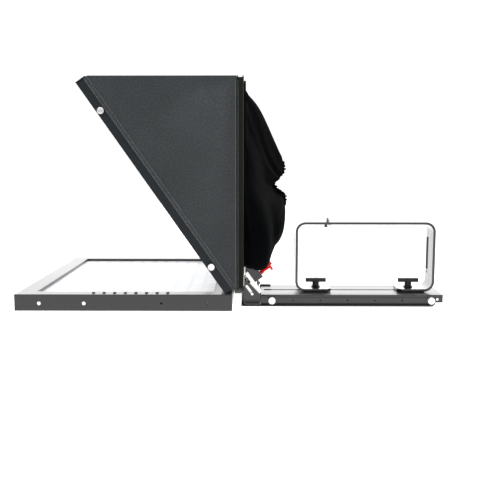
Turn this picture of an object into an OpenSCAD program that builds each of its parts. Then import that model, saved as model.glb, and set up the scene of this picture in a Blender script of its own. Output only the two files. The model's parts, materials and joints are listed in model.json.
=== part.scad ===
// On-camera teleprompter on a sliding camera base.
// +X points back to the camera operator, +Y to the operator's right, +Z up.
// The origin is the tripod hole in the underside of the base plate.

/* [Monitor] */
// Length of the monitor along X
mon_len = 344; // [330:1:360]
// Width of the monitor along Y
mon_w = 403; // [390:1:410]
// Thickness of the monitor
mon_t = 26.5; // [25:0.5:30]
// Distance of the monitor's rear end in front of the tripod hole
mon_gap = 141.2; // [141.2:0.2:150]
// Width of the bezel at the front and rear ends
bezel_x = 29.5; // [27:0.5:32]
// Width of the bezel along the two sides
bezel_y = 24.5; // [22:0.5:27]
// Spacing of the buttons on the bezel
button_pitch = 16.9; // [14:0.1:18]

/* [Glass frame] */
// Angle of the glass from horizontal, degrees
glass_angle = 55.2; // [54:0.1:56]
// Length of the frame along the slope
frame_len = 395; // [380:1:400]
// Overall width of the frame
frame_w = 398; // [390:1:400]
// Depth of the frame rails across the slope
rail_depth = 12.3; // [11:0.1:14]

/* [Hood] */
// Height of the hood's top above the base's underside
hood_top_z = 391; // [388:1:392]
// Thickness of the covered boards
board_t = 3; // [2:0.5:4]
// Radius of the opening for the lens
lens_r = 38; // [30:1:45]
// Height of the lens axis above the base's underside
lens_z = 220; // [210:1:230]

/* [Base] */
// Width between the outer faces of the two rails
base_w = 100; // [100:1:104]
// Height of the slide tray's top
tray_top = 22; // [22:0.5:23]
// Width of the slot for the T-handle screws
slot_w = 6.4; // [6.2:0.1:7]

/* [Camera riser] */
// Length of the riser along X
riser_len = 254; // [240:1:260]
// Width of the riser along Y
riser_w = 48; // [40:1:60]
// Thickness of the bent bar
riser_t = 4.6; // [4:0.1:5]
// Height of the riser's top above the base's underside
riser_top = 151; // [145:1:160]
// Length of each foot
foot_len = 66; // [60:1:70]

/* [Hidden] */
$fn = 48;

// Clearance of a shaft that turns or slides in its hole
run_fit = 0.06;
black = [0.12, 0.12, 0.13];
dark = [0.2, 0.21, 0.22];
silver = [0.8, 0.8, 0.8];

// Base
plate_t = 4.6;
flange_low = 3;
pad_half = 46;
plate_x0 = -128;
plate_x1 = 218;
plate_half = base_w / 2 + 7.5;
block_half_x = 50;
block_half_y = 22;
block_top = 12;
tripod_r = 4.0;
small_tripod_r = 2.6;
small_tripod_x = 28;
rail_x0 = -93;
rail_x1 = 221;
rail_t = 3.4;
rail_top = tray_top - 0.8;
rail_foot_t = 1.8;
rail_half = base_w / 2;
side_hole_r = 1.65;
side_hole_pitch = 49;
side_hole_x0 = -34.8;
side_hole_count = 5;
base_screw_x = [-70, 60, 190];
base_screw_y = 41;
gusset_t = 4;
gusset_x0 = -122.9;
gusset_x1 = -94.2;

// Rail knobs
knob_x = [-72.8, 212.2];
knob_z = 12.6;
knob_r = 6.2;
knob_len = 7;
knob_shaft_r = 2.5;

// Tray
tray_x0 = -92;
tray_x1 = 235;
tray_half = rail_half - rail_t - 0.4;
tray_wall = 3.2;
tray_plate_t = 3.5;
tray_low = 7.8;
slot_x0 = -86;
slot_x1 = 224;

// Riser
riser_x0 = -29.2;
riser_x1 = riser_x0 + riser_len;
riser_bend = 18;
pad_t = 1.4;
foot_top = tray_top + pad_t + riser_t;
handle_x = [10.6, 182.4];
handle_r = 3;
leg_slot_y = 14;
leg_slot_w = 14;
leg_slot_z = [60, 120];
leg_hole_z = 55;
cam_x = 32;
cam_r = 3.1;
cam_shank_r = 2.9;
stud_low = riser_top + 0.4;
stud_top = riser_top + 6;
cam_slot_x1 = 175;
washer_t = 1.2;

// Monitor
mon_x1 = -mon_gap;
mon_x0 = mon_x1 - mon_len;
mon_top = 53.3;
mon_bot = mon_top - mon_t;
bezel_t = 3;
shell_t = 2.5;
screen_drop = 4.8;
screen_z = mon_top - screen_drop;
lcd_t = 3.4;
button_r = 2.6;
button_x0 = -362;
button_y = -190;
side_screw_z = 39;
side_screw_x = [-446, -375];
side_hole_x = [-253, -181];
vesa = 100;
vesa_x = -313;
arm_half = 28;
arm_t = 3;
arm_low = 11.2;
lock_x = -115;
lock_r = 2.5;

// Slope: local x runs down the slope, local z is square to the glass, towards the camera
tip_x = -152.5;
tip_z = 54.3;
rail_w = 12;
frame_half = frame_w / 2;
groove_d = 5.5;
groove_n0 = 3.6;
groove_n1 = 8.6;
glass_n0 = 4.6;
glass_t = 3;
thumb_s = [47.4, 340.8];
thumb_n = 7.1;
thumb_r = 5.3;
clamp_s = 30;
clamp_y = 30;
slope_n0 = 24.7;
slope_n1 = 28.2;
bracket_n0 = 28.6;
bracket_n1 = 35;
block_n1 = 52;
pin_s = 50.6;
pin_n = 18.7;

// Hood
hood_x = -134;
ring_t = 11;
ring_w = 14;
ring_low = 96;
flange_t = 2.4;
hood_low = 60;
board_out = frame_half + 0.9;
board_in = board_out - board_t;

module slope() { translate([tip_x, 0, tip_z]) rotate([0, glass_angle, 0]) children(); }
module both() { children(); mirror([0, 1, 0]) children(); }
module along_y(x, z, y0, y1, r) {
  translate([x, y0, z]) rotate([-90, 0, 0]) cylinder(h = y1 - y0, r = r);
}
module box(lo, hi) { translate(lo) cube(hi - lo); }
// A plate with its outline in the XZ plane, from y0 to y1
module xz_plate(points, y0, y1) {
  translate([0, y1, 0]) rotate([90, 0, 0]) linear_extrude(y1 - y0) polygon(points);
}
function s_point(s, n) = [
  tip_x - s * cos(glass_angle) + n * sin(glass_angle),
  tip_z + s * sin(glass_angle) + n * cos(glass_angle)
];

// ---- base ----
module base_plate() {
  cut = 6;
  color(dark) difference() {
    linear_extrude(plate_t) polygon([
      [plate_x0 + cut, -plate_half], [plate_x1 - cut, -plate_half], [plate_x1, -plate_half + cut],
      [plate_x1, plate_half - cut], [plate_x1 - cut, plate_half], [plate_x0 + cut, plate_half],
      [plate_x0, plate_half - cut], [plate_x0, -plate_half + cut]]);
    both() box([plate_x0 - 1, pad_half, -1], [plate_x1 + 1, plate_half + 1, flange_low]);
    box([-block_half_x, -block_half_y, -1], [block_half_x, block_half_y, plate_t + 1]);
    for (x = base_screw_x, y = [-1, 1]) translate([x, y * base_screw_y, 0]) {
      translate([0, 0, -1]) cylinder(h = plate_t + 2, r = 2);
      translate([0, 0, -0.01]) cylinder(h = 1.6, r = 3.8);
    }
  }
}

// Block let into the base plate, with the three tripod holes
module tripod_block() {
  color(dark) difference() {
    box([-block_half_x, -block_half_y, 0], [block_half_x, block_half_y, block_top]);
    translate([0, 0, -1]) cylinder(h = block_top + 2, r = tripod_r);
    for (x = [-small_tripod_x, small_tripod_x])
      translate([x, 0, -1]) cylinder(h = block_top + 2, r = small_tripod_r);
  }
}

module rail_profile() {
  g = 0.8;
  polygon([
    [rail_half, plate_t], [rail_half, 5.8], [rail_half - g, 6.2], [rail_half - g, 6.8], [rail_half, 7.2],
    [rail_half, 17.6], [rail_half - g, 18], [rail_half - g, 18.8], [rail_half, 19.2],
    [rail_half, rail_top - 0.6], [rail_half - 0.6, rail_top], [rail_half - rail_t, rail_top],
    [rail_half - rail_t, plate_t + rail_foot_t], [rail_half - 12, plate_t + rail_foot_t],
    [rail_half - 12, plate_t]]);
}

module rail_right() {
  color(dark) difference() {
    translate([rail_x0, 0, 0]) rotate([90, 0, 90]) linear_extrude(rail_x1 - rail_x0) rail_profile();
    for (i = [0 : side_hole_count - 1])
      along_y(side_hole_x0 + i * side_hole_pitch, knob_z, rail_half - 5, rail_half + 1, side_hole_r);
    for (x = knob_x) along_y(x, knob_z, rail_half - 5, rail_half + 1, knob_shaft_r + run_fit);
    for (x = base_screw_x) translate([x, base_screw_y, 0]) cylinder(h = 10, r = 1.6);
  }
}
module rail_left() { mirror([0, 1, 0]) rail_right(); }

module gusset_right() {
  top = s_point(-22, pin_n + 5);
  flange_top = 7.8;
  color(dark) difference() {
    union() {
      xz_plate([[gusset_x0, plate_t], [gusset_x0, 46.6], [gusset_x0 + 3.4, 49], [top[0] + 4, top[1] - 4],
        [gusset_x1, 22.5], [gusset_x1, plate_t]], rail_half - gusset_t, rail_half);
      box([gusset_x0 + 2, rail_half, plate_t], [gusset_x1, rail_half + 5, flange_top]);
    }
    box([gusset_x0 - 1, rail_half - 0.8, 10.6], [gusset_x1 + 1, rail_half + 1, 11.8]);
    slope() {
      for (s = [pin_s, pin_s - 17]) rotate([-90, 0, 0])
        translate([s, -pin_n, rail_half - 8]) cylinder(h = 12, r = 2.65);
      box([pin_s - 17, rail_half - 8, pin_n - 2.65], [pin_s, rail_half + 4, pin_n + 2.65]);
    }
  }
}
module gusset_left() { mirror([0, 1, 0]) gusset_right(); }

// Slanted plate that the hood's clamp bears on, with its foot on the base plate
module slope_plate() {
  half = 39.6;
  a = s_point(-27, slope_n0);
  b = s_point(-27, slope_n1);
  foot_x = -98.4;
  c_x = foot_x + 3.6;
  drop = tan(glass_angle);
  color(dark) difference() {
    union() {
      xz_plate([a, b, [c_x, b[1] - (c_x - b[0]) * drop], [c_x, plate_t], [foot_x, plate_t],
        [foot_x, a[1] - (foot_x - a[0]) * drop]], -half, half);
      box([foot_x - 10, -half, plate_t], [foot_x, -32, plate_t + 2.6]);
      box([foot_x - 10, 32, plate_t], [foot_x, half, plate_t + 2.6]);
    }
    box([foot_x - 1, -31, plate_t - 1], [c_x + 1, 31, 24]);
  }
}

// Channel on the base plate that the monitor's arms slide into
module monitor_guide() {
  x0 = -127;
  x1 = -102;
  floor_top = arm_low - 0.3;
  bridge_z = 23.4;
  color(dark) {
    box([x0, -arm_half - 3.4, plate_t], [x1, arm_half + 3.4, floor_top]);
    both() box([x0, arm_half + 0.4, floor_top], [x1, arm_half + 3.4, 21]);
    both() box([x0, arm_half - 1.6, 21], [x1, arm_half + 3.4, 23]);
    difference() {
      box([x0 + 4, -8, bridge_z], [x0 + 20, 8, bridge_z + 4]);
      translate([lock_x, 0, bridge_z - 1]) cylinder(h = 8, r = lock_r + run_fit);
    }
    both() box([x0 + 4, 8, 21], [x0 + 20, arm_half + 3.4, bridge_z + 4]);
  }
}

module slide_liners() {
  color("ivory") both() box([rail_x0 + 4, 40, plate_t + rail_foot_t],
    [rail_x1 - 4, 45.6, tray_low - 0.4]);
}

module base_screws() {
  color(silver) for (x = base_screw_x, y = [-base_screw_y, base_screw_y]) translate([x, y, 0]) {
    translate([0, 0, 0.2]) cylinder(h = 1.3, r = 3.5);
    translate([0, 0, 1.5]) cylinder(h = 4.2, r = 1.55);
  }
}

// ---- rail lock knobs ----
module rail_knob(x, side) {
  grips = 16;
  color(silver) mirror([0, side < 0 ? 1 : 0, 0]) {
    along_y(x, knob_z, tray_half + 0.25, rail_half + 1, knob_shaft_r);
    difference() {
      along_y(x, knob_z, rail_half + 0.4, rail_half + knob_len, knob_r);
      for (i = [0 : grips - 1]) let (a = i * 360 / grips)
        along_y(x + (knob_r + 0.45) * cos(a), knob_z + (knob_r + 0.45) * sin(a),
          rail_half + 1.2, rail_half + knob_len - 0.8, 0.75);
      along_y(x, knob_z, rail_half + knob_len - 0.5, rail_half + knob_len + 1, knob_r - 1.8);
    }
  }
}

// ---- sliding tray ----
module slide_tray() {
  color(black) difference() {
    union() {
      box([tray_x0, -tray_half, tray_low], [tray_x1, tray_half, tray_top]);
      box([tray_x0, tray_half - 7, tray_top - 1], [tray_x0 + 20, tray_half, tray_top + 2.6]);
    }
    box([tray_x0 - 1, -tray_half + tray_wall, tray_low - 1],
      [tray_x1 + 1, tray_half - tray_wall, tray_top - tray_plate_t]);
    box([slot_x0 + 3, -slot_w / 2, 10], [slot_x1, slot_w / 2, tray_top + 1]);
    box([slot_x0, -5.6, 10], [slot_x0 + 14, 5.6, tray_top + 1]);
    both() along_y(tray_x1 - 10.2, 13.8, tray_half - 5, tray_half + 1, 1.4);
    both() box([tray_x0 - 1, tray_half - 9.6, tray_top - 0.5],
      [tray_x1 + 1, tray_half - 8.8, tray_top + 1]);
  }
}
module tray_stop_screws() {
  color(silver) both() {
    along_y(tray_x1 - 10.2, 13.8, tray_half - 4, tray_half, 1.4);
    difference() {
      along_y(tray_x1 - 10.2, 13.8, tray_half, tray_half + 1.1, 2.3);
      along_y(tray_x1 - 10.2, 13.8, tray_half + 0.5, tray_half + 2, 1.1);
    }
  }
}

// ---- camera riser ----
// Outline of the bent bar, inset by d, open at the bottom between the feet
module riser_loop(d) {
  r = riser_bend - d;
  x0 = riser_x0 + d;
  x1 = riser_x1 - d;
  z0 = tray_top + pad_t + d;
  z1 = riser_top - d;
  difference() {
    translate([x0, z0]) square([x1 - x0, z1 - z0]);
    for (cx = [x0 + r, x1 - r], cz = [z0 + r, z1 - r])
      difference() {
        translate([cx < 100 ? cx - r - 1 : cx, cz < 90 ? cz - r - 1 : cz]) square(r + 1);
        translate([cx, cz]) circle(r);
      }
  }
}

module camera_riser() {
  color(black) difference() {
    translate([0, riser_w / 2, 0]) rotate([90, 0, 0]) linear_extrude(riser_w) difference() {
      riser_loop(0);
      riser_loop(riser_t);
      translate([riser_x0 + foot_len, 0]) square([riser_len - 2 * foot_len, 60]);
    }
    for (x = handle_x) translate([x, 0, 0]) cylinder(h = 50, r = handle_r + run_fit);
    for (x = [riser_x0, riser_x1])
      box([x - 9, leg_slot_y - leg_slot_w / 2, leg_slot_z[0]], [x + 9, leg_slot_y + leg_slot_w / 2, leg_slot_z[1]]);
    for (x = [riser_x0, riser_x1]) translate([x - 9, leg_slot_y, leg_hole_z])
      rotate([0, 90, 0]) cylinder(h = 18, r = 2.6);
    for (x = [cam_x - 12, cam_slot_x1]) translate([x, 0, riser_top - 10]) cylinder(h = 12, r = cam_r + 0.3);
    box([cam_x - 12, -cam_r - 0.3, riser_top - 10], [cam_slot_x1, cam_r + 0.3, riser_top + 1]);
    for (x = [riser_x0 + foot_len, riser_x1 - foot_len], y = [-1, 1])
      translate([x, y * riser_w / 2, 20]) rotate([0, 0, 45]) box([-5, -5, 0], [5, 5, 20]);
  }
}

module riser_foot_pads() {
  // Pads stay clear of the bend, and of the screws
  color(black) for (x = [riser_x0 + riser_bend, riser_x1 - foot_len + 6])
    difference() {
      box([x, -riser_w / 2 + 1, tray_top], [x + foot_len - riser_bend - 6, riser_w / 2 - 1, tray_top + pad_t]);
      for (h = handle_x) translate([h, 0, tray_top - 1]) cylinder(h = 4, r = handle_r + 1);
    }
}

module t_nuts() {
  color(silver) for (x = handle_x) difference() {
    box([x - 8, -7, 13], [x + 8, 7, tray_top - tray_plate_t - 0.3]);
    translate([x, 0, 10]) cylinder(h = 12, r = handle_r + run_fit);
  }
}

module t_handle(x) {
  bar = 32.4;
  low = foot_top + 0.3;
  color(black) translate([x, 0, 0]) difference() {
    union() {
      translate([0, 0, 13.4]) cylinder(h = low + 2 - 13.4, r = handle_r);
      translate([0, 0, low]) cylinder(h = 1.4, r = 8);
      translate([0, 0, low + 1]) cylinder(h = 9.4, r = 6.1);
      box([-bar / 2, -4, 37.5], [bar / 2, 4, 44.5]);
      for (e = [-1, 1]) translate([e * bar / 2, 0, 37.5]) cylinder(h = 7, r = 4);
    }
    for (e = [-1, 1]) translate([e * (bar / 2 + 8.5), 0, 41]) box([-6, -6, -6], [6, 6, 6]);
    translate([0, 0, 43.7]) cylinder(h = 2, r = 2.4);
  }
}

module camera_screw_washer() {
  z = riser_top - riser_t - washer_t - 0.3;
  color(silver) translate([cam_x, 0, z]) difference() {
    cylinder(h = washer_t, r = 8);
    translate([0, 0, -1]) cylinder(h = 4, r = cam_shank_r + run_fit);
  }
}

module camera_screw() {
  head_top = riser_top - riser_t - washer_t - 0.6;
  color(silver) translate([cam_x, 0, 0]) difference() {
    union() {
      translate([0, 0, head_top - 5]) cylinder(h = 5, r = 7);
      translate([0, 0, head_top - 1]) cylinder(h = stud_low - head_top + 2, r = cam_shank_r);
      translate([0, 0, stud_low]) cylinder(h = stud_top - stud_low, r = cam_r);
    }
    box([-8, -0.8, head_top - 6], [8, 0.8, head_top - 3.4]);
  }
}

// ---- monitor ----
module monitor_back_cover() {
  top = mon_top - bezel_t;
  ledge = 2;
  color(dark) difference() {
    union() {
      difference() {
        box([mon_x0, -mon_w / 2, mon_bot], [mon_x1, mon_w / 2, top]);
        box([mon_x0 + shell_t, -mon_w / 2 + shell_t, mon_bot + shell_t],
          [mon_x1 - shell_t, mon_w / 2 - shell_t, top + 1]);
      }
      for (x = [-1, 1], y = [-1, 1]) translate([vesa_x + x * vesa / 2, y * vesa / 2, mon_bot])
        cylinder(h = shell_t + ledge, r = 5);
    }
    for (x = [-1, 1], y = [-1, 1]) translate([vesa_x + x * vesa / 2, y * vesa / 2, mon_bot - 1])
      cylinder(h = 8, r = 1.65);
    both() for (x = concat(side_screw_x, side_hole_x))
      along_y(x, side_screw_z, mon_w / 2 - 6, mon_w / 2 + 1, 1.65);
    both() for (i = [0 : 11]) box([-200 + i * 4, 90, mon_bot - 1], [-198 + i * 4, 150, mon_bot + 4]);
    box([mon_x0 - 1, -150, mon_bot + 5], [mon_x0 + 5, -90, mon_bot + 17]);
  }
}

module monitor_bezel() {
  edge = 1.2;
  top = mon_top;
  low = top - bezel_t;
  color(dark) difference() {
    union() {
      box([mon_x0, -mon_w / 2, low], [mon_x1, mon_w / 2, top - edge]);
      box([mon_x0 + edge, -mon_w / 2 + edge, low], [mon_x1 - edge, mon_w / 2 - edge, top]);
      for (y = [-1, 1]) along_x(mon_x0 + edge, mon_x1 - edge, y * (mon_w / 2 - edge), top - edge, edge);
      for (x = [mon_x0 + edge, mon_x1 - edge])
        along_y(x, top - edge, -mon_w / 2 + edge, mon_w / 2 - edge, edge);
      box([mon_x0 + bezel_x - 2, -mon_w / 2 + bezel_y - 2, screen_z + 0.1],
        [mon_x1 - bezel_x + 2, mon_w / 2 - bezel_y + 2, low]);
    }
    box([mon_x0 + bezel_x, -mon_w / 2 + bezel_y, screen_z - 5],
      [mon_x1 - bezel_x, mon_w / 2 - bezel_y, top + 1]);
    for (i = [0 : 7]) translate([button_x0 + i * button_pitch, button_y, low - 1])
      cylinder(h = bezel_t + 2, r = button_r + run_fit);
  }
}
module along_x(x0, x1, y, z, r) { translate([x0, y, z]) rotate([0, 90, 0]) cylinder(h = x1 - x0, r = r); }

module lcd_panel() {
  lap = 3;
  color("whitesmoke") box([mon_x0 + bezel_x - lap, -mon_w / 2 + bezel_y - lap, screen_z - lcd_t],
    [mon_x1 - bezel_x + lap, mon_w / 2 - bezel_y + lap, screen_z]);
}

module backlight_unit() {
  z1 = screen_z - lcd_t - 0.1;
  color("white") {
    box([mon_x0 + bezel_x, -mon_w / 2 + bezel_y, z1 - 7], [mon_x1 - bezel_x, mon_w / 2 - bezel_y, z1]);
    for (x = [-1, 1], y = [-1, 1])
      translate([vesa_x + x * 120, y * 150, mon_bot + shell_t]) cylinder(h = z1 - 6.9 - mon_bot - shell_t, r = 4);
  }
}

// Main board between the four bosses, and the long board under the buttons
module circuit_boards() {
  z = mon_bot + shell_t;
  y = button_y;
  x0 = button_x0 - 12;
  x1 = button_x0 + 7 * button_pitch + 12;
  switch_z = 44;
  color("green") {
    box([-400, -40, z], [-270, 40, z + 1.6]);
    for (i = [0 : 4]) box([-392 + i * 24, -30, z + 1.6], [-380 + i * 24, -14 + i * 3, z + 4.4]);
    for (i = [0 : 3]) translate([-385 + i * 28, 22, z + 1.6]) cylinder(h = 4, r = 3);
    box([x0, y - 5, switch_z - 1.6], [x1, y + 5, switch_z]);
    for (i = [0 : 7]) translate([button_x0 + i * button_pitch, y, switch_z]) cylinder(h = 1.2, r = 1.8);
    for (x = [x0 + 4, x1 - 4]) translate([x, y, z]) cylinder(h = switch_z - 1.6 - z, r = 2.2);
  }
}

module port_block() {
  x = mon_x0;
  color(black) difference() {
    box([x - 1.5, -149.8, mon_bot + 5.2], [x + 18, -90.2, mon_bot + 16.8]);
    for (i = [0 : 2]) box([x - 3, -144 + i * 17, mon_bot + 8], [x + 12, -131 + i * 17, mon_bot + 13]);
  }
}

module monitor_screws() {
  color(silver) {
    both() for (x = side_screw_x) difference() {
      union() {
        along_y(x, side_screw_z, mon_w / 2 - 5, mon_w / 2, 1.6);
        along_y(x, side_screw_z, mon_w / 2, mon_w / 2 + 0.9, 2.9);
      }
      along_y(x, side_screw_z, mon_w / 2 + 0.3, mon_w / 2 + 2, 1.2);
    }
    for (x = [-1, 1], y = [-1, 1]) translate([vesa_x + x * vesa / 2, y * vesa / 2, 0]) {
      translate([0, 0, mon_bot - arm_t - 2.2]) cylinder(h = 2.2, r = 3.6);
      translate([0, 0, mon_bot - arm_t]) cylinder(h = 7, r = 1.6);
    }
  }
}

// Plate under the monitor with a U-shaped arm that slides into the base
module monitor_arms() {
  low = mon_bot - arm_t;
  plate_x = -380;
  end_x = -101;
  color(silver) difference() {
    union() {
      box([plate_x, -62, low], [mon_x1 + 2, 62, mon_bot]);
      box([mon_x1 + 0.2, -62, mon_bot - 14], [mon_x1 + 2, 62, mon_bot + 3.4]);
      box([plate_x + 30, -arm_half, arm_low], [end_x, arm_half, arm_low + arm_t]);
      both() box([plate_x + 30, arm_half - arm_t, arm_low], [mon_x1 + 2, arm_half, low]);
      both() box([mon_x1 + 1, arm_half - arm_t, arm_low], [end_x, arm_half, 20.6]);
    }
    for (x = [-1, 1], y = [-1, 1]) translate([vesa_x + x * vesa / 2, y * vesa / 2, low - 1])
      cylinder(h = arm_t + 2, r = 1.9);
  }
}

module button(i) {
  color(black) translate([button_x0 + (i - 1) * button_pitch, button_y, 0]) {
    translate([0, 0, 49]) cylinder(h = 5.3, r = button_r);
    translate([0, 0, 54.3]) cylinder(h = 0.5, r1 = button_r, r2 = button_r - 0.5);
    translate([0, 0, 48.3]) cylinder(h = 1.4, r = 3.6);
    translate([0, 0, 46.2]) cylinder(h = 2.2, r = 1.2);
  }
}

// Socket-head screw that clamps the monitor's arm in the base
module monitor_lock_screw() {
  head_low = 27.8;
  color(silver) translate([lock_x, 0, 0]) difference() {
    union() {
      translate([0, 0, arm_low + arm_t + 0.3]) cylinder(h = head_low - arm_low - arm_t, r = lock_r);
      translate([0, 0, head_low]) cylinder(h = 5, r = 4.4);
    }
    translate([0, 0, head_low + 2.4]) cylinder(h = 4, r = 2.2, $fn = 6);
  }
}

// ---- glass and its frame ----
module glass_ring(lo, hi, half, n0, n1) {
  slope() box([-hi, -half, n0], [-lo, half, n1]);
}
module beam_splitter_glass() {
  color([0.8, 0.9, 0.95, 0.4])
    glass_ring(8.5, frame_len - 8.5, frame_half - rail_w + 3.5, glass_n0, glass_n0 + glass_t);
}
module glass_gasket() {
  half = frame_half - rail_w;
  color(black) difference() {
    glass_ring(6.5, frame_len - 6.5, half + groove_d, groove_n0, groove_n1);
    glass_ring(12, frame_len - 12, half, groove_n0 - 1, groove_n1 + 1);
    glass_ring(8.5, frame_len - 8.5, half + 3.5, glass_n0, glass_n0 + glass_t);
  }
}
module frame_rail_right() {
  half = frame_half - rail_w;
  color(dark) difference() {
    slope() box([-frame_len, half, 0], [0, frame_half, rail_depth]);
    slope() box([-frame_len + 6.5, half - 1, groove_n0], [-6.5, half + groove_d, groove_n1]);
    for (s = thumb_s) let (p = s_point(s, thumb_n))
      along_y(p[0], p[1], half + groove_d + 0.4, frame_half + 1, 2 + run_fit);
  }
}
module frame_rail_left() { mirror([0, 1, 0]) frame_rail_right(); }

module frame_bar(s0, s1, g0, g1) {
  half = frame_half - rail_w;
  color(dark) difference() {
    slope() box([-s1, -half, 0], [-s0, half, rail_depth]);
    slope() box([-g1, -half - 1, groove_n0], [-g0, half + 1, groove_n1]);
  }
}
module frame_top_bar() { frame_bar(frame_len - 12, frame_len + 1, frame_len - 12.1, frame_len - 6.5); }
module frame_bottom_bar() { frame_bar(0, 12, 6.5, 12.1); }
module frame_end_plate() {
  color(black) slope() box([-frame_len - 2.6, -frame_half, -0.6], [-frame_len - 1, frame_half, 17.4]);
}

// Silver bracket: bears on the slope plate, carries the hood, and is guided by pins in the gussets
module clamp_bracket() {
  half = 44.8;
  ring_back = hood_x + ring_t;
  color(silver) {
    difference() {
      union() {
        slope() box([13, -half, bracket_n0], [42, half, bracket_n1]);
        box([ring_back, 1 - half, 57], [ring_back + flange_t, half - 1, 88]);
        both() slope() box([32, 40.8, 15.8], [58, half, bracket_n1]);
      }
      both() slope() translate([clamp_s, clamp_y, bracket_n0 - 1]) cylinder(h = 9, r = 2.5 + run_fit);
    }
    both() slope() translate([pin_s, half - 1, pin_n]) rotate([-90, 0, 0]) cylinder(h = 5.6, r = 2.4);
  }
}

module clamp_block() {
  color(black) difference() {
    slope() box([6, -42, bracket_n1], [37, 42, block_n1]);
    both() slope() translate([clamp_s, clamp_y, bracket_n1 - 2]) cylinder(h = 24, r = 2.5 + run_fit);
  }
}

// Red T-handled clamp screw with its silver collar
module t_screw(side) {
  bar = 15;
  color("red") slope() translate([clamp_s, side * clamp_y, 0]) {
    translate([0, 0, bracket_n0 + 0.6]) cylinder(h = block_n1 - bracket_n0, r = 2.5);
    translate([0, 0, block_n1 + 0.4]) cylinder(h = 5, r = 3.6);
    translate([0, 0, block_n1 + 5]) cylinder(h = 16, r = 2.6);
    translate([-bar / 2, 0, block_n1 + 20.6]) rotate([0, 90, 0]) cylinder(h = bar, r = 2.2);
  }
}

// ---- hood ----
module hood_side_right() {
  n = rail_depth + 0.1;
  low = s_point((hood_low - tip_z - n * cos(glass_angle)) / sin(glass_angle), n);
  high = s_point(frame_len, n);
  corner_x = high[0] + (hood_top_z - high[1]) * tan(glass_angle);
  color("dimgray") xz_plate([low, high, [corner_x, hood_top_z], [hood_x, hood_top_z],
    [hood_x, hood_low]], board_in, board_out);
}
module hood_side_left() { mirror([0, 1, 0]) hood_side_right(); }

module hood_top() {
  high = s_point(frame_len, rail_depth);
  x0 = high[0] + (hood_top_z - board_t - high[1]) * tan(glass_angle) + 0.5;
  x1 = x0 + board_t * tan(glass_angle);
  color("dimgray") xz_plate([[x0, hood_top_z - board_t], [x1, hood_top_z], [hood_x, hood_top_z],
    [hood_x, hood_top_z - board_t]], -board_in, board_in);
}

module hood_rear_frame() {
  color("black") difference() {
    box([hood_x, -board_out, hood_low], [hood_x + ring_t, board_out, hood_top_z]);
    box([hood_x - 1, -board_out + ring_w, ring_low],
      [hood_x + ring_t + 1, board_out - ring_w, hood_top_z - ring_w]);
  }
}

// Soft funnel from the rear frame to the lens: t runs from the frame to the lens opening
drape_x0 = hood_x + ring_t;
drape_low = 92;
drape_reach = 71;
drape_rings = 8;
drape_sides = 48;
drape_wall = 2.5;
function frame_edge(a, d) =
  let (half = board_out - 8 - d, top = hood_top_z - 6 - d, low = drape_low + d, mid = 226,
    k = min(half / max(abs(cos(a)), 0.001), (a < 180 ? top - mid : mid - low) / max(abs(sin(a)), 0.001)))
  [k * cos(a), mid + k * sin(a)];
function lens_edge(a, d) = [(lens_r - d) * cos(a), lens_z + (lens_r - d) * sin(a)];
function drape_point(a, t, d) =
  let (p = frame_edge(a, d), q = lens_edge(a, d), droop = a > 180 ? -sin(a) : 0,
    x = drape_x0 + drape_reach * pow(t, 1 - 0.55 * droop))
  [x, p[0] + (q[0] - p[0]) * t, p[1] + (q[1] - p[1]) * t];

module camera_drape() {
  n = drape_sides;
  rows = 2 * (drape_rings + 1);
  points = [
    for (i = [0 : drape_rings], j = [0 : n - 1]) drape_point(j * 360 / n, i / drape_rings, 0),
    for (i = [0 : drape_rings], j = [0 : n - 1])
      drape_point(j * 360 / n, 1 - i / drape_rings, drape_wall)
  ];
  faces = [
    for (i = [0 : rows - 1], j = [0 : n - 1]) let (k = (i + 1) % rows, m = (j + 1) % n)
      each [[i * n + j, i * n + m, k * n + m], [i * n + j, k * n + m, k * n + j]]
  ];
  color("black") polyhedron(points, faces);
}

module thumbscrew(s, side) {
  p = s_point(s, thumb_n);
  color(silver) mirror([0, side < 0 ? 1 : 0, 0]) difference() {
    union() {
      along_y(p[0], p[1], frame_half - 5.5, frame_half + 2, 2);
      along_y(p[0], p[1], frame_half + 2.1, frame_half + 5.6, thumb_r);
      along_y(p[0], p[1], frame_half + 0.4, frame_half + 2.1, thumb_r - 1.4);
    }
    along_y(p[0], p[1], frame_half + 5, frame_half + 7, thumb_r - 1.6);
  }
}

base_plate();
tripod_block();
rail_left();
rail_right();
gusset_left();
gusset_right();
slope_plate();
monitor_guide();
slide_liners();
base_screws();
rail_knob(knob_x[0], -1);  // rail_knob_front_left
rail_knob(knob_x[1], -1);  // rail_knob_rear_left
rail_knob(knob_x[0], 1);  // rail_knob_front_right
rail_knob(knob_x[1], 1);  // rail_knob_rear_right
slide_tray();
tray_stop_screws();
camera_riser();
riser_foot_pads();
t_nuts();
t_handle(handle_x[0]);  // t_handle_front
t_handle(handle_x[1]);  // t_handle_rear
camera_screw_washer();
camera_screw();
monitor_back_cover();
monitor_bezel();
lcd_panel();
backlight_unit();
circuit_boards();
port_block();
monitor_screws();
monitor_arms();
button(1);  // button_1
button(2);  // button_2
button(3);  // button_3
button(4);  // button_4
button(5);  // button_5
button(6);  // button_6
button(7);  // button_7
button(8);  // button_8
monitor_lock_screw();
beam_splitter_glass();
glass_gasket();
frame_rail_left();
frame_rail_right();
frame_top_bar();
frame_bottom_bar();
frame_end_plate();
clamp_bracket();
clamp_block();
t_screw(-1);  // t_screw_left
t_screw(1);  // t_screw_right
hood_side_left();
hood_side_right();
hood_top();
hood_rear_frame();
camera_drape();
thumbscrew(thumb_s[0], -1);  // thumbscrew_low_left
thumbscrew(thumb_s[1], -1);  // thumbscrew_high_left
thumbscrew(thumb_s[0], 1);  // thumbscrew_low_right
thumbscrew(thumb_s[1], 1);  // thumbscrew_high_right
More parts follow.
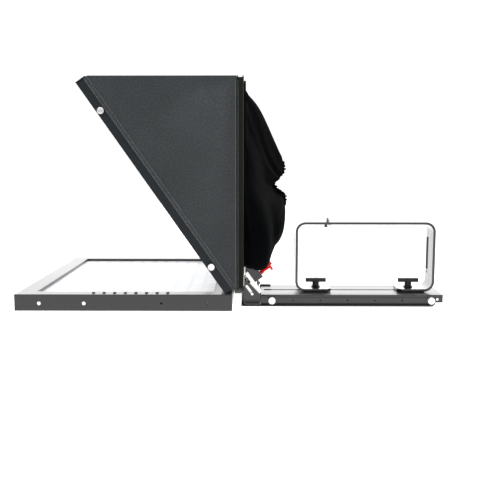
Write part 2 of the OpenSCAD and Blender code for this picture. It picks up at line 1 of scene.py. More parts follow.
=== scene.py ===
"""Looks of the teleprompter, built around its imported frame. Lengths are in metres, angles in radians."""

import json
import math
import random

import bmesh
import bpy
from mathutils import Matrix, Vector, noise


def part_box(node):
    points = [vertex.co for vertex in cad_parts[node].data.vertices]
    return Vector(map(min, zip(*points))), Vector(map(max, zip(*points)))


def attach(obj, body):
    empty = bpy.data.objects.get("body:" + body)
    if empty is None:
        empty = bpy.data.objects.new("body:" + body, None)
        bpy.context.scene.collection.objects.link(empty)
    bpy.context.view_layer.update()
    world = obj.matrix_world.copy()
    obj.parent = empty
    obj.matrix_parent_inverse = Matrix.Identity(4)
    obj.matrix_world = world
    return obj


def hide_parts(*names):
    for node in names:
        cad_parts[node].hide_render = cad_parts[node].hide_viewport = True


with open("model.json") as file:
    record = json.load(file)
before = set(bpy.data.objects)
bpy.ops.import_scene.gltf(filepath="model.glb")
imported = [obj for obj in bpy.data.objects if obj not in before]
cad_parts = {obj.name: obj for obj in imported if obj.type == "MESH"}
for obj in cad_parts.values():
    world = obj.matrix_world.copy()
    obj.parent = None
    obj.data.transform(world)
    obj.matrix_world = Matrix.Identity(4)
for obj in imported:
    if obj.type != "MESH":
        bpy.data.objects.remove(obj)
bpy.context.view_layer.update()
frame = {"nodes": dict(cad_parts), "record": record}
nodes = frame["nodes"]

SLOPE = math.radians(55.2)
UP_SLOPE = Vector((-math.cos(SLOPE), 0, math.sin(SLOPE)))
GLASS_NORMAL = Vector((math.sin(SLOPE), 0, math.cos(SLOPE)))
HOOD_BODY = "hood"


def clamp(value, low=0.0, high=1.0):
    return max(low, min(high, value))


def smooth(start, stop, value):
    t = clamp((value - start) / (stop - start))
    return t * t * (3 - 2 * t)


# ---------------------------------------------------------------- camera, light and floor


FRONT_LIGHT = 0.4
BACK_LIGHT = 2.1
TOP_LIGHT = 0.9


def make_camera():
    """A level-ish side view, a little above the monitor."""
    data = bpy.data.cameras.new("camera")
    data.lens = 51.1
    data.sensor_width = 36
    camera = bpy.data.objects.new("camera", data)
    camera.location = (-0.120, -1.254, 0.2676)
    pitch, yaw = math.radians(6.92), math.radians(0.48)
    camera.rotation_euler = (math.pi / 2 - pitch, 0, yaw)
    bpy.context.scene.collection.objects.link(camera)
    bpy.context.scene.camera = camera


def area_light(name, place, target, size, power):
    data = bpy.data.lights.new(name, "AREA")
    data.shape = "DISK"
    data.size = size
    data.energy = power
    light = bpy.data.objects.new(name, data)
    light.location = place
    light.rotation_mode = "QUATERNION"
    light.rotation_quaternion = (Vector(target) - Vector(place)).to_track_quat("-Z", "Y")
    bpy.context.scene.collection.objects.link(light)


def make_world():
    """White studio: bright behind and above, dimmer from the camera's side, plain white where it is seen."""
    world = bpy.data.worlds.new("studio")
    world.use_nodes = True
    tree = world.node_tree
    new, link = tree.nodes.new, tree.links.new
    split = new("ShaderNodeSeparateXYZ")
    link(new("ShaderNodeTexCoord").outputs["Generated"], split.inputs["Vector"])
    shares = []
    for axis, start, stop, low, high in (("Y", -0.5, 0.7, FRONT_LIGHT, BACK_LIGHT), ("Z", 0.0, 1.0, 0.0, TOP_LIGHT)):
        ramp = new("ShaderNodeMapRange")
        ramp.interpolation_type = "SMOOTHSTEP"
        for socket, value in (("From Min", start), ("From Max", stop), ("To Min", low), ("To Max", high)):
            ramp.inputs[socket].default_value = value
        link(split.outputs[axis], ramp.inputs["Value"])
        shares.append(ramp.outputs["Result"])
    total = new("ShaderNodeMath")
    for socket, share in zip(total.inputs, shares):
        link(share, socket)
    seen = new("ShaderNodeLightPath").outputs["Is Camera Ray"]
    strength = new("ShaderNodeMix")
    link(seen, strength.inputs[0])
    link(total.outputs["Value"], strength.inputs[2])
    strength.inputs[3].default_value = 1.05
    background = tree.nodes["Background"]
    background.inputs["Color"].default_value = (1.0, 1.0, 1.0, 1)
    link(strength.outputs[0], background.inputs["Strength"])
    bpy.context.scene.world = world


def make_studio():
    make_world()
    bpy.context.scene.view_settings.view_transform = "Standard"
    middle = (-0.1, 0, 0.2)
    area_light("key", (-1.4, -2.4, 2.2), middle, 1.4, 14)
    area_light("rim", (1.6, 1.8, 1.9), middle, 1.4, 30)

    floor_z = -0.75
    mesh = bpy.data.meshes.new("floor")
    half = 14
    mesh.from_pydata([(-half, -half, floor_z), (half, -half, floor_z), (half, half, floor_z), (-half, half, floor_z)],
                     [], [(0, 1, 2, 3)])
    floor = bpy.data.objects.new("floor", mesh)
    bpy.context.scene.collection.objects.link(floor)
    mesh.materials.append(floor_material())


# ---------------------------------------------------------------- material kit


class Mat:
    """A Principled material with short ways to add texture to it."""

    def __init__(self, name, base, roughness=0.5, metallic=0.0, **sockets):
        self.material = bpy.data.materials.new(name)
        self.material.use_nodes = True
        self.tree = self.material.node_tree
        self.bsdf = self.tree.nodes["Principled BSDF"]
        self.set("Base Color", (*base, 1))
        self.set("Roughness", roughness)
        self.set("Metallic", metallic)
        for key, value in sockets.items():
            self.set(key.replace("_", " ").title().replace("Ior", "IOR"), value)
        self.coords = self.tree.nodes.new("ShaderNodeTexCoord").outputs["Object"]

    def set(self, socket, value):
        self.bsdf.inputs[socket].default_value = value

    def link(self, a, b):
        self.tree.links.new(a, b)

    def node(self, kind, **values):
        made = self.tree.nodes.new("ShaderNode" + kind)
        for key, value in values.items():
            if hasattr(made, key):
                setattr(made, key, value)
            else:
                made.inputs[key.replace("_", " ").title()].default_value = value
        return made

    def stretched(self, scale):
        mapping = self.node("Mapping")
        mapping.inputs["Scale"].default_value = scale
        self.link(self.coords, mapping.inputs["Vector"])
        return mapping.outputs["Vector"]

    def noise(self, scale, detail=4.0, rough=0.55, stretch=(1, 1, 1)):
        made = self.node("TexNoise")
        made.inputs["Scale"].default_value = scale
        made.inputs["Detail"].default_value = detail
        made.inputs["Roughness"].default_value = rough
        self.link(self.stretched(stretch), made.inputs["Vector"])
        return made.outputs["Fac"]

    def wave(self, scale, direction, distortion=0.0, rotate=(0, 0, 0)):
        mapping = self.node("Mapping")
        mapping.inputs["Rotation"].default_value = rotate
        self.link(self.coords, mapping.inputs["Vector"])
        made = self.node("TexWave", bands_direction=direction)
        made.inputs["Scale"].default_value = scale
        made.inputs["Distortion"].default_value = distortion
        self.link(mapping.outputs["Vector"], made.inputs["Vector"])
        return made.outputs["Fac"]

    def remap(self, value, low, high, start=0.0, stop=1.0):
        made = self.node("MapRange")
        for socket, number in (("From Min", start), ("From Max", stop), ("To Min", low), ("To Max", high)):
            made.inputs[socket].default_value = number
        self.link(value, made.inputs["Value"])
        return made.outputs["Result"]

    def math(self, operation, a, b):
        made = self.node("Math", operation=operation)
        for socket, value in zip(made.inputs, (a, b)):
            if isinstance(value, (int, float)):
                socket.default_value = value
            else:
                self.link(value, socket)
        return made.outputs["Value"]

    def colour(self, value, dark, light):
        made = self.node("Mix", data_type="RGBA")
        made.inputs[6].default_value = (*dark, 1)
        made.inputs[7].default_value = (*light, 1)
        self.link(value, made.inputs[0])
        self.link(made.outputs[2], self.bsdf.inputs["Base Color"])
        return made.outputs[2]

    def rough(self, value, low, high):
        self.link(self.remap(value, low, high), self.bsdf.inputs["Roughness"])

    def bump(self, value, strength, depth):
        made = self.node("Bump")
        made.inputs["Strength"].default_value = strength
        made.inputs["Distance"].default_value = depth
        self.link(value, made.inputs["Height"])
        self.link(made.outputs["Normal"], self.bsdf.inputs["Normal"])


def shade(colour, k):
    return tuple(min(1.0, c * k) for c in colour)


def floor_material():
    m = Mat("floor", (0.93, 0.93, 0.93), 0.6)
    m.colour(m.noise(3, 3), (0.92, 0.92, 0.92), (0.95, 0.95, 0.95))
    m.rough(m.noise(9, 3), 0.55, 0.7)
    return m.material


def fine_metal(name, base, rough, metallic=0.0, grain=900, coat=0.0, wear=0.25, stretch=(1, 1, 1), **more):
    """Painted or anodised metal: fine grain, slow variation in gloss and a little lighter where it is handled."""
    m = Mat(name, base, rough, metallic, **more)
    if coat:
        m.set("Coat Weight", coat)
        m.set("Coat Roughness", 0.12)
    slow = m.noise(14, 3, stretch=stretch)
    m.colour(slow, shade(base, 1 - wear * 0.5), shade(base, 1 + wear))
    fine = m.noise(grain, 2, 0.6, stretch)
    m.rough(m.math("ADD", m.math("MULTIPLY", slow, 0.5), m.math("MULTIPLY", fine, 0.5)), rough * 0.8, rough * 1.25)
    m.bump(fine, 0.12, 0.00012)
    return m.material


def brushed(name, base, rough, across="Z"):
    """Bright machined metal with fine turning or brushing lines."""
    m = Mat(name, base, rough, 1.0)
    stretch = {"X": (30, 1, 1), "Y": (1, 30, 1), "Z": (1, 1, 30)}[across]
    lines = m.noise(90, 3, 0.6, stretch)
    m.colour(lines, shade(base, 0.9), shade(base, 1.06))
    m.rough(lines, rough * 0.75, rough * 1.3)
    m.bump(lines, 0.1, 0.0001)
    return m.material


def plastic(name, base, rough, spark=1600):
    """Moulded plastic with a fine spark-eroded texture."""
    m = Mat(name, base, rough)
    slow = m.noise(25, 2)
    fine = m.noise(spark, 2)
    m.colour(slow, shade(base, 0.85), shade(base, 1.2))
    m.rough(fine, rough * 0.85, rough * 1.2)
    m.bump(fine, 0.25, 0.00015)
    return m.material


def woven(name, dark, light, pitch, rough=0.8, sheen=0.1, depth=0.0002, specular=0.25):
    """Woven cloth: two crossed sets of threads, with slubs and slow changes of shade."""
    m = Mat(name, dark, rough)
    m.set("Sheen Weight", sheen)
    m.set("Sheen Roughness", 0.4)
    m.set("Specular IOR Level", specular)
    scale = 1 / (math.pi * pitch)
    warp, side, weft = (m.wave(scale, axis) for axis in "XYZ")
    threads = m.math("MAXIMUM", m.math("MULTIPLY", warp, weft), m.math("MULTIPLY", side, weft))
    slub = m.noise(420, 3, 0.6)
    slow = m.noise(22, 4)
    mixed = m.math("ADD", m.math("MULTIPLY", slub, 0.82), m.math("MULTIPLY", slow, 0.18))
    m.colour(m.remap(m.math("ADD", m.math("MULTIPLY", threads, 0.3), m.math("MULTIPLY", mixed, 0.7)),
                     0, 1, 0.32, 0.68), dark, light)
    m.rough(mixed, rough * 0.9, min(1.0, rough * 1.1))
    m.bump(m.math("ADD", threads, m.math("MULTIPLY", slub, 0.5)), 0.4, depth)
    return m.material


def screen_material():
    """A lit, pale screen with faint rows of generic blocks that run across it."""
    m = Mat("screen", (0.7, 0.71, 0.73), 0.2)
    m.set("Specular IOR Level", 0.1)
    bricks = m.node("TexBrick", offset=0.37)
    mapping = m.node("Mapping")
    mapping.inputs["Rotation"].default_value = (0, 0, math.pi / 2)
    m.link(m.coords, mapping.inputs["Vector"])
    m.link(mapping.outputs["Vector"], bricks.inputs["Vector"])
    for socket, value in (("Scale", 1.0), ("Brick Width", 0.021), ("Row Height", 0.024), ("Mortar Size", 0.0042),
                          ("Mortar Smooth", 0.3)):
        bricks.inputs[socket].default_value = value
    bricks.inputs["Color1"].default_value = (0.78, 0.79, 0.8, 1)
    bricks.inputs["Color2"].default_value = (0.66, 0.67, 0.69, 1)
    bricks.inputs["Mortar"].default_value = (0.6, 0.61, 0.64, 1)
    m.link(bricks.outputs["Color"], m.bsdf.inputs["Base Color"])
    m.link(bricks.outputs["Color"], m.bsdf.inputs["Emission Color"])
    m.set("Emission Strength", 0.12)
    return m.material


def glass_material():
    """Half-mirrored glass: clear, a little blue-grey, reflective at a slant."""
    m = Mat("beam_splitter", (0.93, 0.96, 0.98), 0.02)
    m.set("Transmission Weight", 1.0)
    m.set("IOR", 1.52)
    m.set("Coat Weight", 1.0)
    m.set("Coat IOR", 2.1)
    m.set("Coat Roughness", 0.02)
    m.rough(m.noise(6, 2), 0.01, 0.03)
    return m.material


def board_material():
    m = Mat("circuit_board", (0.03, 0.2, 0.08), 0.35)
    tracks = m.node("TexVoronoi", feature="DISTANCE_TO_EDGE", distance="CHEBYCHEV")
    tracks.inputs["Scale"].default_value = 260
    m.link(m.coords, tracks.inputs["Vector"])
    m.colour(m.remap(tracks.outputs["Distance"], 0, 1, 0.02, 0.06), (0.1, 0.33, 0.14), (0.02, 0.16, 0.06))
    m.bump(tracks.outputs["Distance"], 0.3, 0.0002)
    return m.material


MATERIALS = {
    "black_aluminium": lambda: fine_metal("black_aluminium", (0.015, 0.015, 0.016), 0.3, coat=0.45, coat_ior=1.45),
    "riser_black": lambda: fine_metal("riser_black", (0.007, 0.007, 0.007), 0.26, grain=1300, coat=1.0,
                                      coat_ior=1.4),
    "monitor_black": lambda: fine_metal("monitor_black", (0.008, 0.0085, 0.0085), 0.32, coat=0.45, coat_ior=1.4),
    "frame_black": lambda: fine_metal("frame_black", (0.009, 0.012, 0.015), 0.45, specular_ior_level=0.2),
    "bare_metal": lambda: brushed("bare_metal", (0.86, 0.86, 0.85), 0.3, "X"),
    "screw_steel": lambda: brushed("screw_steel", (0.82, 0.82, 0.82), 0.22, "Y"),
    "black_plastic": lambda: plastic("black_plastic", (0.006, 0.006, 0.0065), 0.45),
    "red_anodised": lambda: fine_metal("red_anodised", (0.95, 0.008, 0.004), 0.32, wear=0.08,
                                        specular_ior_level=0.3),
    "nylon": lambda: plastic("nylon", (0.78, 0.76, 0.68), 0.5),
    "rubber": lambda: plastic("rubber", (0.012, 0.012, 0.012), 0.75, 900),
    "screen": screen_material,
    "diffuser": lambda: plastic("diffuser", (0.9, 0.9, 0.9), 0.6),
    "circuit_board": board_material,
    "beam_splitter": glass_material,
    "hood_cloth": lambda: woven("hood_cloth", (0.02, 0.0225, 0.025), (0.062, 0.068, 0.071), 0.0011, sheen=0.04),
    "rear_cloth": lambda: woven("rear_cloth", (0.008, 0.0085, 0.006), (0.018, 0.019, 0.014), 0.0012,
                                sheen=0.01, specular=0.15),
    "drape_cloth": lambda: woven("drape_cloth", (0.001, 0.0011, 0.0013), (0.0034, 0.0037, 0.0042), 0.0009,
                                 0.95, 0.004, specular=0.01),
}


# ---------------------------------------------------------------- carried-over CAD nodes

EDGES = {
    "base_plate": 0.4, "rail_left": 0.3, "rail_right": 0.3, "gusset_left": 0.35, "gusset_right": 0.35,
    "slope_plate": 0.35, "slide_tray": 0.4, "camera_riser": 0.5, "t_handle_front": 0.5, "t_handle_rear": 0.5,
    "monitor_back_cover": 0.6, "frame_rail_left": 0.5, "frame_rail_right": 0.5, "frame_end_plate": 0.5,
    "clamp_bracket": 0.4, "clamp_block": 0.7, "thumbscrew_low_left": 0.3, "thumbscrew_high_left": 0.3,
    "thumbscrew_low_right": 0.3, "thumbscrew_high_right": 0.3, "monitor_arms": 0.4, "port_block": 0.3,
}


def round_edges(obj, radius_mm):
    """A small round on every corner of a machined part, so that its edges catch the light."""
    weld = obj.modifiers.new("weld", "WELD")
    weld.merge_threshold = 1e-6
    flat = obj.modifiers.new("flat", "DECIMATE")
    flat.decimate_type = "DISSOLVE"
    flat.angle_limit = math.radians(0.6)
    bevel = obj.modifiers.new("edges", "BEVEL")
    bevel.width = radius_mm / 1000
    bevel.segments = 2
    bevel.limit_method = "ANGLE"
    bevel.angle_limit = math.radians(35)
    even = obj.modifiers.new("even", "WEIGHTED_NORMAL")
    even.weight = 100
    even.keep_sharp = True


def dress_cad_nodes():
    """Gives every CAD node the material of its slot, and softens the corners of the machined ones."""
    made = {slot: build() for slot, build in MATERIALS.items()}
    for part in frame["record"]["subparts"]:
        obj = nodes[part["node"]]
        obj.data.materials.clear()
        obj.data.materials.append(made[part["material_slot"]])
    for name, radius in EDGES.items():
        round_edges(nodes[name], radius)
    made["seam_thread"] = woven("seam_thread", (0.12, 0.125, 0.125), (0.22, 0.225, 0.22), 0.0005)
    return made


# ---------------------------------------------------------------- mesh kit


def add_piece(name, verts, faces, slot):
    mesh = bpy.data.meshes.new(name)
    mesh.from_pydata([tuple(v) for v in verts], [], faces)
    mesh.validate()
    mesh.update()
    mesh.materials.append(finish_of[slot])
    mesh.shade_smooth()
    mesh.set_sharp_from_angle(angle=math.radians(50))
    piece = bpy.data.objects.new(name, mesh)
    bpy.context.scene.collection.objects.link(piece)
    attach(piece, HOOD_BODY)
    return piece


def loop_faces(rows, columns, close_rows=False, close_columns=True):
    """Quads between the rows of a grid whose vertices are stored row by row."""
    faces = []
    for i in range(rows if close_rows else rows - 1):
        for j in range(columns if close_columns else columns - 1):
            k, m = (i + 1) % rows, (j + 1) % columns
            faces.append((i * columns + j, i * columns + m, k * columns + m, k * columns + j))
    return faces


def steps(length, edge, count):
    """Places from 0 to length: close together within edge of both ends, even in between."""
    fine = [edge * k for k in (0, 0.08, 0.3, 0.6, 1)]
    even = [edge + (length - 2 * edge) * k / count for k in range(1, count)]
    return fine + even + [length - d for d in reversed(fine)]


def rounding(distance, radius):
    """How far a face drops at this distance from its edge, for a round of this radius."""
    if distance >= radius:
        return 0.0
    return radius - math.sqrt(max(0.0, radius**2 - (radius - distance) ** 2))


def close_up(piece):
    """Joins vertices in the same place, and turns every face outwards."""
    mesh = bmesh.new()
    mesh.from_mesh(piece.data)
    bmesh.ops.remove_doubles(mesh, verts=mesh.verts, dist=1e-6)
    bmesh.ops.recalc_face_normals(mesh, faces=mesh.faces)
    mesh.to_mesh(piece.data)
    mesh.free()


def covered_board(name, ends, height, thick, place, bulge=0.0006):
    """A board covered in cloth. ends(v) gives the two ends of the row at v; place(u, v, w) is the point."""
    radius = thick / 2
    v_rows = steps(height, radius, 46)
    verts, rows, columns = [], len(v_rows), 0
    for side in (1, -1):
        for v in v_rows:
            u0, u1 = ends(v)
            places = steps(u1 - u0, min(radius, (u1 - u0) / 4), 34)
            columns = len(places)
            for d in places:
                inside = min(d, u1 - u0 - d, v, height - v)
                drop = rounding(inside, radius)
                puff = bulge * smooth(0, 0.03, inside) * noise.noise(Vector((u0 + d, v, side)) * 9)
                verts.append(place(u0 + d, v, radius + side * (radius - drop + max(puff, -radius / 2))))
    front = loop_faces(rows, columns, close_columns=False)
    back = [tuple(rows * columns + i for i in reversed(face)) for face in front]
    piece = add_piece(name, verts, front + back, "hood_cloth")
    close_up(piece)
    return piece


def stitches(name, start, stop, out, slot, pitch=0.0036, size=0.00035):
    """A row of short thread dashes from start to stop, lying on the cloth that faces out."""
    start, stop, out = Vector(start), Vector(stop), Vector(out).normalized()
    along = (stop - start).normalized()
    across = along.cross(out)
    count = int((stop - start).length / pitch)
    ring = 6
    lengths = ((0.0, 0.25), (0.16, 0.85), (0.5, 1.0), (0.84, 0.85), (1.0, 0.25))
    verts, faces = [], []
    for i in range(count):
        base = start + along * pitch * (i + 0.5)
        first = len(verts)
        for share, width in lengths:
            for k in range(ring):
                turn = 2 * math.pi * k / ring
                spot = across * math.cos(turn) + out * math.sin(turn) * 0.8
                verts.append(base + along * (share - 0.5) * pitch * 0.68 + spot * size * width)
        faces += [tuple(first + f for f in face) for face in loop_faces(len(lengths), ring)]
        faces.append(tuple(first + k for k in reversed(range(ring))))
        faces.append(tuple(first + (len(lengths) - 1) * ring + k for k in range(ring)))
    return add_piece(name, verts, faces, slot)


# ---------------------------------------------------------------- hood

SIDE_LOW, SIDE_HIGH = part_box("hood_side_left")
RING_LOW, RING_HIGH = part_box("hood_rear_frame")
TOP_LOW, TOP_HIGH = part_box("hood_top")
BOARD = SIDE_HIGH[1] - SIDE_LOW[1]
OUTER = -SIDE_LOW[1]
NOSE_X = SIDE_LOW[0]
KNEE_Z = TOP_LOW[2] - (TOP_LOW[0] - 0.0005 - NOSE_X) / math.tan(SLOPE)
SIDES = {"left": -1, "right": 1}


def side_ends(v):
    """Front and rear end of the side board at height v above its bottom edge: it is cut along the glass frame."""
    z = SIDE_LOW[2] + v
    if z <= KNEE_Z:
        return NOSE_X + (KNEE_Z - z) / math.tan(SLOPE), SIDE_HIGH[0]
    return NOSE_X + (z - KNEE_Z) * math.tan(SLOPE), SIDE_HIGH[0]


def hood_sides():
    for name, side in SIDES.items():
        board = covered_board(f"hood_side_{name}_cloth", side_ends, SIDE_HIGH[2] - SIDE_LOW[2], BOARD,
                              lambda u, v, w: (u, side * (OUTER - BOARD + w), SIDE_LOW[2] + v))
        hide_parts(f"hood_side_{name}")


def hood_top():
    board = covered_board("hood_top_cloth", lambda v: (TOP_LOW[0], TOP_HIGH[0]), TOP_HIGH[1] - TOP_LOW[1], BOARD,
                          lambda u, v, w: (u, TOP_LOW[1] + v, TOP_LOW[2] + w))
    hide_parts("hood_top")


def strip(name, start, stop, out, width, height, slot, ripple=0.00012, pitch=0.0036):
    """A folded band of cloth sewn on from start to stop, facing out, with small puckers at its stitches."""
    start, stop, out = Vector(start), Vector(stop), Vector(out).normalized()
    length = (stop - start).length
    along = (stop - start) / length
    across = along.cross(out)
    rows, around = int(length / pitch * 2), 14
    verts = []
    for i in range(rows + 1):
        end = min(i, rows - i)
        taper = 1 - 0.5 * (1 - min(1, end / 2)) ** 2
        for k in range(around):
            turn = 2 * math.pi * k / around
            side, up = math.cos(turn), math.sin(turn)
            full = math.copysign(abs(side) ** 0.35, side) * width / 2
            rise = math.copysign(abs(up) ** 0.6, up) * height / 2 * taper
            pucker = ripple * math.cos(math.pi * i) * abs(side) if up > 0 else 0
            verts.append(start + along * length * i / rows + across * full + out * (height / 2 + rise + pucker))
    faces = loop_faces(rows + 1, around)
    faces.append(tuple(reversed(range(around))))
    faces.append(tuple(rows * around + k for k in range(around)))
    return add_piece(name, verts, faces, slot)


def hood_trim():
    """The binding sewn along each slanted edge, with its two rows of stitches, and the stitches beside the frame."""
    width, height, inset = 0.0078, 0.0007, 0.0046
    seam_end = 0.004
    for name, side in SIDES.items():
        out = Vector((0, side, 0))
        face = side * OUTER
        x_low, _ = side_ends(0)
        low = Vector((x_low, face, SIDE_LOW[2]))
        high = Vector((NOSE_X, face, KNEE_Z))
        middle = GLASS_NORMAL * inset
        start = low + middle + UP_SLOPE * 0.0045
        stop = high + middle
        strip(f"slant_binding_{name}", start, stop, out, width, height, "hood_cloth")
        for row, shift in (("front", -0.0027), ("rear", 0.0027)):
            lift = GLASS_NORMAL * shift + out * height * 0.95
            stitches(f"slant_stitches_{row}_{name}", start + lift, stop + lift, out, "seam_thread")
        x = RING_LOW[0] + 0.0022
        stitches(f"rear_stitches_{name}", (x, face, RING_LOW[2] + seam_end), (x, face, RING_HIGH[2] - seam_end),
                 out, "seam_thread")
        x = SIDE_HIGH[0] - 0.0016
        stitches(f"panel_stitches_{name}", (x, face, SIDE_LOW[2] + seam_end), (x, face, SIDE_HIGH[2] - seam_end),
                 out, "seam_thread")


def rear_frame():
    """The board frame behind the hood, wrapped in binding: one rounded section carried round four mitred corners."""
    radius, bar = 0.0022, 0.014
    bottom_bar = 0.036
    depth = RING_HIGH[0] - RING_LOW[0]
    section = []
    for from_inner, rear in ((False, False), (False, True), (True, True), (True, False)):
        for k in range(6):
            turn = math.radians(90 * k / 5)
            a, b = radius * (1 - math.cos(turn)), radius * (1 - math.sin(turn))
            edge, face = (a, b) if from_inner == rear else (b, a)
            section.append((from_inner, edge, depth - face if rear else face))
    verts = []
    corners = ((-1, 0), (1, 0), (1, 1), (-1, 1))
    for side, top in corners:
        for from_inner, edge, x in section:
            inward = bar - edge if from_inner else edge
            foot = bottom_bar - edge if from_inner else edge
            z = RING_HIGH[2] - inward if top else RING_LOW[2] + foot
            verts.append((RING_LOW[0] + x, side * (OUTER - inward), z))
    piece = add_piece("rear_frame_binding", verts, loop_faces(4, len(section), close_rows=True), "rear_cloth")
    close_up(piece)
    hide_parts("hood_rear_frame")


# ---------------------------------------------------------------- lens drape

DRAPE_LOW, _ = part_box("camera_drape")
DRAPE_X = RING_HIGH[0]
LENS_Z = 0.220
RIM_RADIUS = 0.038
DRAPE_ROWS, DRAPE_AROUND = 46, 192
EDGE_Y = OUTER - 0.0085
EDGE_TOP = RING_HIGH[2] - 0.0065
EDGE_BOTTOM = DRAPE_LOW[2] + 0.002

# How far the cloth has come from the frame to the rim (0 to 1), and its distance behind the frame
TOP_LINE = ((0.0, 0.0), (0.06, 0.0015), (0.105, 0.0085), (0.27, 0.0265), (0.58, 0.049), (0.86, 0.069), (0.97, 0.0725),
            (1.0, 0.069))
SIDE_LINE = ((0.0, 0.0), (0.02, 0.012), (0.12, 0.023), (0.35, 0.033), (0.7, 0.044), (0.9, 0.05), (1.0, 0.053))
BOTTOM_LINE = ((0.0, 0.0), (-0.03, 0.012), (-0.065, 0.027), (-0.035, 0.039), (0.05, 0.048), (0.2, 0.0525),
               (0.3, 0.057), (0.37, 0.0665), (0.5, 0.073), (0.68, 0.0765), (0.86, 0.0765), (1.0, 0.072))


def along_line(line, t):
    """A smooth curve through the line's points, at share t of its length."""
    place = t * (len(line) - 1)
    i = min(int(place), len(line) - 2)
    f = place - i
    p0, p1, p2, p3 = (line[clamp(k, 0, len(line) - 1)] for k in (i - 1, i, i + 1, i + 2))
    return tuple(0.5 * (2 * b + (c - a) * f + (2 * a - 5 * b + 4 * c - d) * f * f + (3 * b - a - 3 * c + d) * f**3)
                 for a, b, c, d in zip(p0, p1, p2, p3))


def frame_point(angle):
    """Where the cloth meets the frame in this direction from the middle of the drape: a rounded rectangle."""
    c, s = math.cos(angle), math.sin(angle)
    half_z = (EDGE_TOP - EDGE_BOTTOM) / 2
    power = 14
    reach = (abs(c / EDGE_Y) ** power + abs(s / half_z) ** power) ** (-1 / power)
    return reach * c, (EDGE_TOP + EDGE_BOTTOM) / 2 + reach * s


def drape_point(angle, t, pleats):
    """A point of the cloth: angle round the lens, t from the frame (0) to the rim (1)."""
    top, bottom = smooth(0.05, 0.6, math.sin(angle)), smooth(0.05, 0.55, -math.sin(angle))
    shares = ((TOP_LINE, top), (BOTTOM_LINE, bottom), (SIDE_LINE, 1 - top - bottom))
    come = sum(along_line(line, t)[0] * share for line, share in shares)
    back = sum(along_line(line, t)[1] * share for line, share in shares)
    y0, z0 = frame_point(angle)
    y1, z1 = RIM_RADIUS * math.cos(angle), LENS_Z + RIM_RADIUS * math.sin(angle)
    gather = 0.0037 * smooth(0.35, 0.92, t) * (1 - 0.45 * smooth(0.92, 1, t))
    slack = 0.0052 * math.sin(math.pi * clamp(t)) ** 1.3
    fine, broad = pleats(angle, t)
    puff = gather * fine + slack * broad
    outward = Vector((0.75, math.cos(angle) * 0.66, math.sin(angle) * 0.66))
    place = Vector((DRAPE_X + back, y0 + (y1 - y0) * come, z0 + (z1 - z0) * come))
    return place + outward * puff * smooth(0, 0.25, t)


def make_pleats():
    """Irregular pleats: each wave has its own count, lean and phase, so no two folds match."""
    draw = random.Random(11)
    waves = [(count, draw.uniform(0, 2 * math.pi), draw.uniform(-1.4, 1.4), draw.uniform(0.5, 1))
             for count in (17, 23, 29, 37)]
    folds = [(count, draw.uniform(0, 2 * math.pi), draw.uniform(-0.9, 0.9), draw.uniform(0.5, 1))
             for count in (5, 7, 11, 13)]

    def pleats(angle, t):
        fine = sum(weight * math.sin(count * angle + phase + lean * t * 3) for count, phase, lean, weight in waves)
        broad = sum(weight * (1 - 1.6 * abs(math.sin((count * angle + phase + lean * t * 4) / 2)))
                    for count, phase, lean, weight in folds)
        return fine / 2, broad / 1.6

    return pleats


def settle(piece, pinned, frames=24, most=0.006):
    """Lets the cloth hang under gravity from its pinned edges, and keeps every point near where it began."""
    start = [v.co.copy() for v in piece.data.vertices]
    group = piece.vertex_groups.new(name="pinned")
    for index, weight in pinned:
        group.add([index], weight, "REPLACE")
    cloth = piece.modifiers.new("cloth", "CLOTH")
    cloth.settings.vertex_group_mass = "pinned"
    cloth.settings.quality = 6
    cloth.settings.mass = 0.25
    cloth.settings.tension_stiffness = 12
    cloth.settings.compression_stiffness = 12
    cloth.settings.shear_stiffness = 4
    cloth.settings.bending_stiffness = 0.12
    cloth.settings.shrink_min = -0.025
    cloth.settings.air_damping = 2
    cloth.collision_settings.use_collision = False
    cloth.point_cache.frame_end = frames
    scene = bpy.context.scene
    for step in range(1, frames + 1):
        scene.frame_set(step)
    hung = piece.evaluated_get(bpy.context.evaluated_depsgraph_get()).to_mesh()
    settled = [v.co.copy() for v in hung.vertices]
    piece.evaluated_get(bpy.context.evaluated_depsgraph_get()).to_mesh_clear()
    piece.modifiers.remove(cloth)
    piece.vertex_groups.remove(group)
    scene.frame_set(1)
    for vertex, was, now in zip(piece.data.vertices, start, settled):
        move = now - was
        if move.length > most:
            move *= most / move.length
        vertex.co = was + move


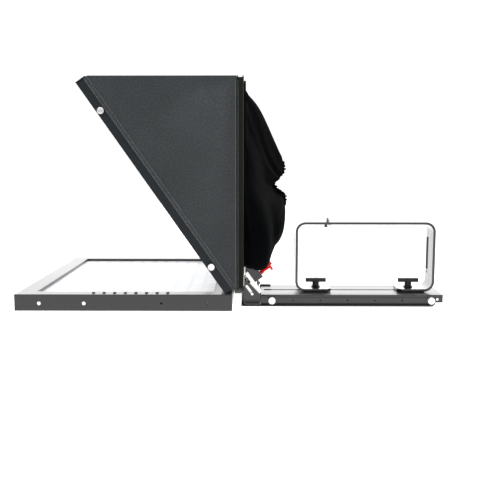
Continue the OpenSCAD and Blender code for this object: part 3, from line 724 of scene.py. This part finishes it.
def drape_hem():
    """The elastic hem round the lens opening: a puckered tube of cloth on the rim."""
    pleats = make_pleats()
    rows, around = DRAPE_AROUND * 2, 12
    verts = []
    for i in range(rows):
        angle = 2 * math.pi * i / rows
        rim = drape_point(angle, 1.0, pleats)
        pucker = 1 + 0.22 * math.sin(61 * angle) + 0.12 * math.sin(37 * angle + 1)
        out = Vector((0, math.cos(angle), math.sin(angle)))
        for k in range(around):
            turn = 2 * math.pi * k / around
            spot = Vector((math.sin(turn), 0, 0)) * 0.0034 + out * math.cos(turn) * 0.0022
            verts.append(rim + spot * pucker)
    return add_piece("drape_elastic_hem", verts, loop_faces(rows, around, close_rows=True), "drape_cloth")


def drape_band():
    """The band that holds the drape to the back of the frame."""
    rows, around = 160, 10
    verts = []
    for i in range(rows):
        y, z = frame_point(2 * math.pi * i / rows)
        middle = (EDGE_TOP + EDGE_BOTTOM) / 2
        for k in range(around):
            turn = 2 * math.pi * k / around
            wide = math.copysign(abs(math.cos(turn)) ** 0.5, math.cos(turn)) * 0.0035
            deep = math.copysign(abs(math.sin(turn)) ** 0.5, math.sin(turn)) * 0.0016 + 0.0017
            scale_y, scale_z = 1 + wide / EDGE_Y, 1 + wide / (EDGE_TOP - middle)
            verts.append((DRAPE_X + deep, y * scale_y, middle + (z - middle) * scale_z))
    return add_piece("drape_band", verts, loop_faces(rows, around, close_rows=True), "drape_cloth")


def lens_drape():
    pleats = make_pleats()
    verts = [drape_point(2 * math.pi * j / DRAPE_AROUND, i / (DRAPE_ROWS - 1), pleats)
             for i in range(DRAPE_ROWS) for j in range(DRAPE_AROUND)]
    drape = add_piece("lens_drape", verts, loop_faces(DRAPE_ROWS, DRAPE_AROUND), "drape_cloth")
    last = (DRAPE_ROWS - 1) * DRAPE_AROUND
    settle(drape, [(k, 1.0) for k in range(DRAPE_AROUND)] + [(last + k, 1.0) for k in range(DRAPE_AROUND)])
    cloth = drape.modifiers.new("thickness", "SOLIDIFY")
    cloth.thickness = 0.0007
    finer = drape.modifiers.new("finer", "SUBSURF")
    finer.levels = finer.render_levels = 1
    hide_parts("camera_drape")
    drape_hem()
    drape_band()
    return drape


make_camera()
make_studio()
finish_of = dress_cad_nodes()
hood_sides()
hood_top()
hood_trim()
rear_frame()
lens_drape()
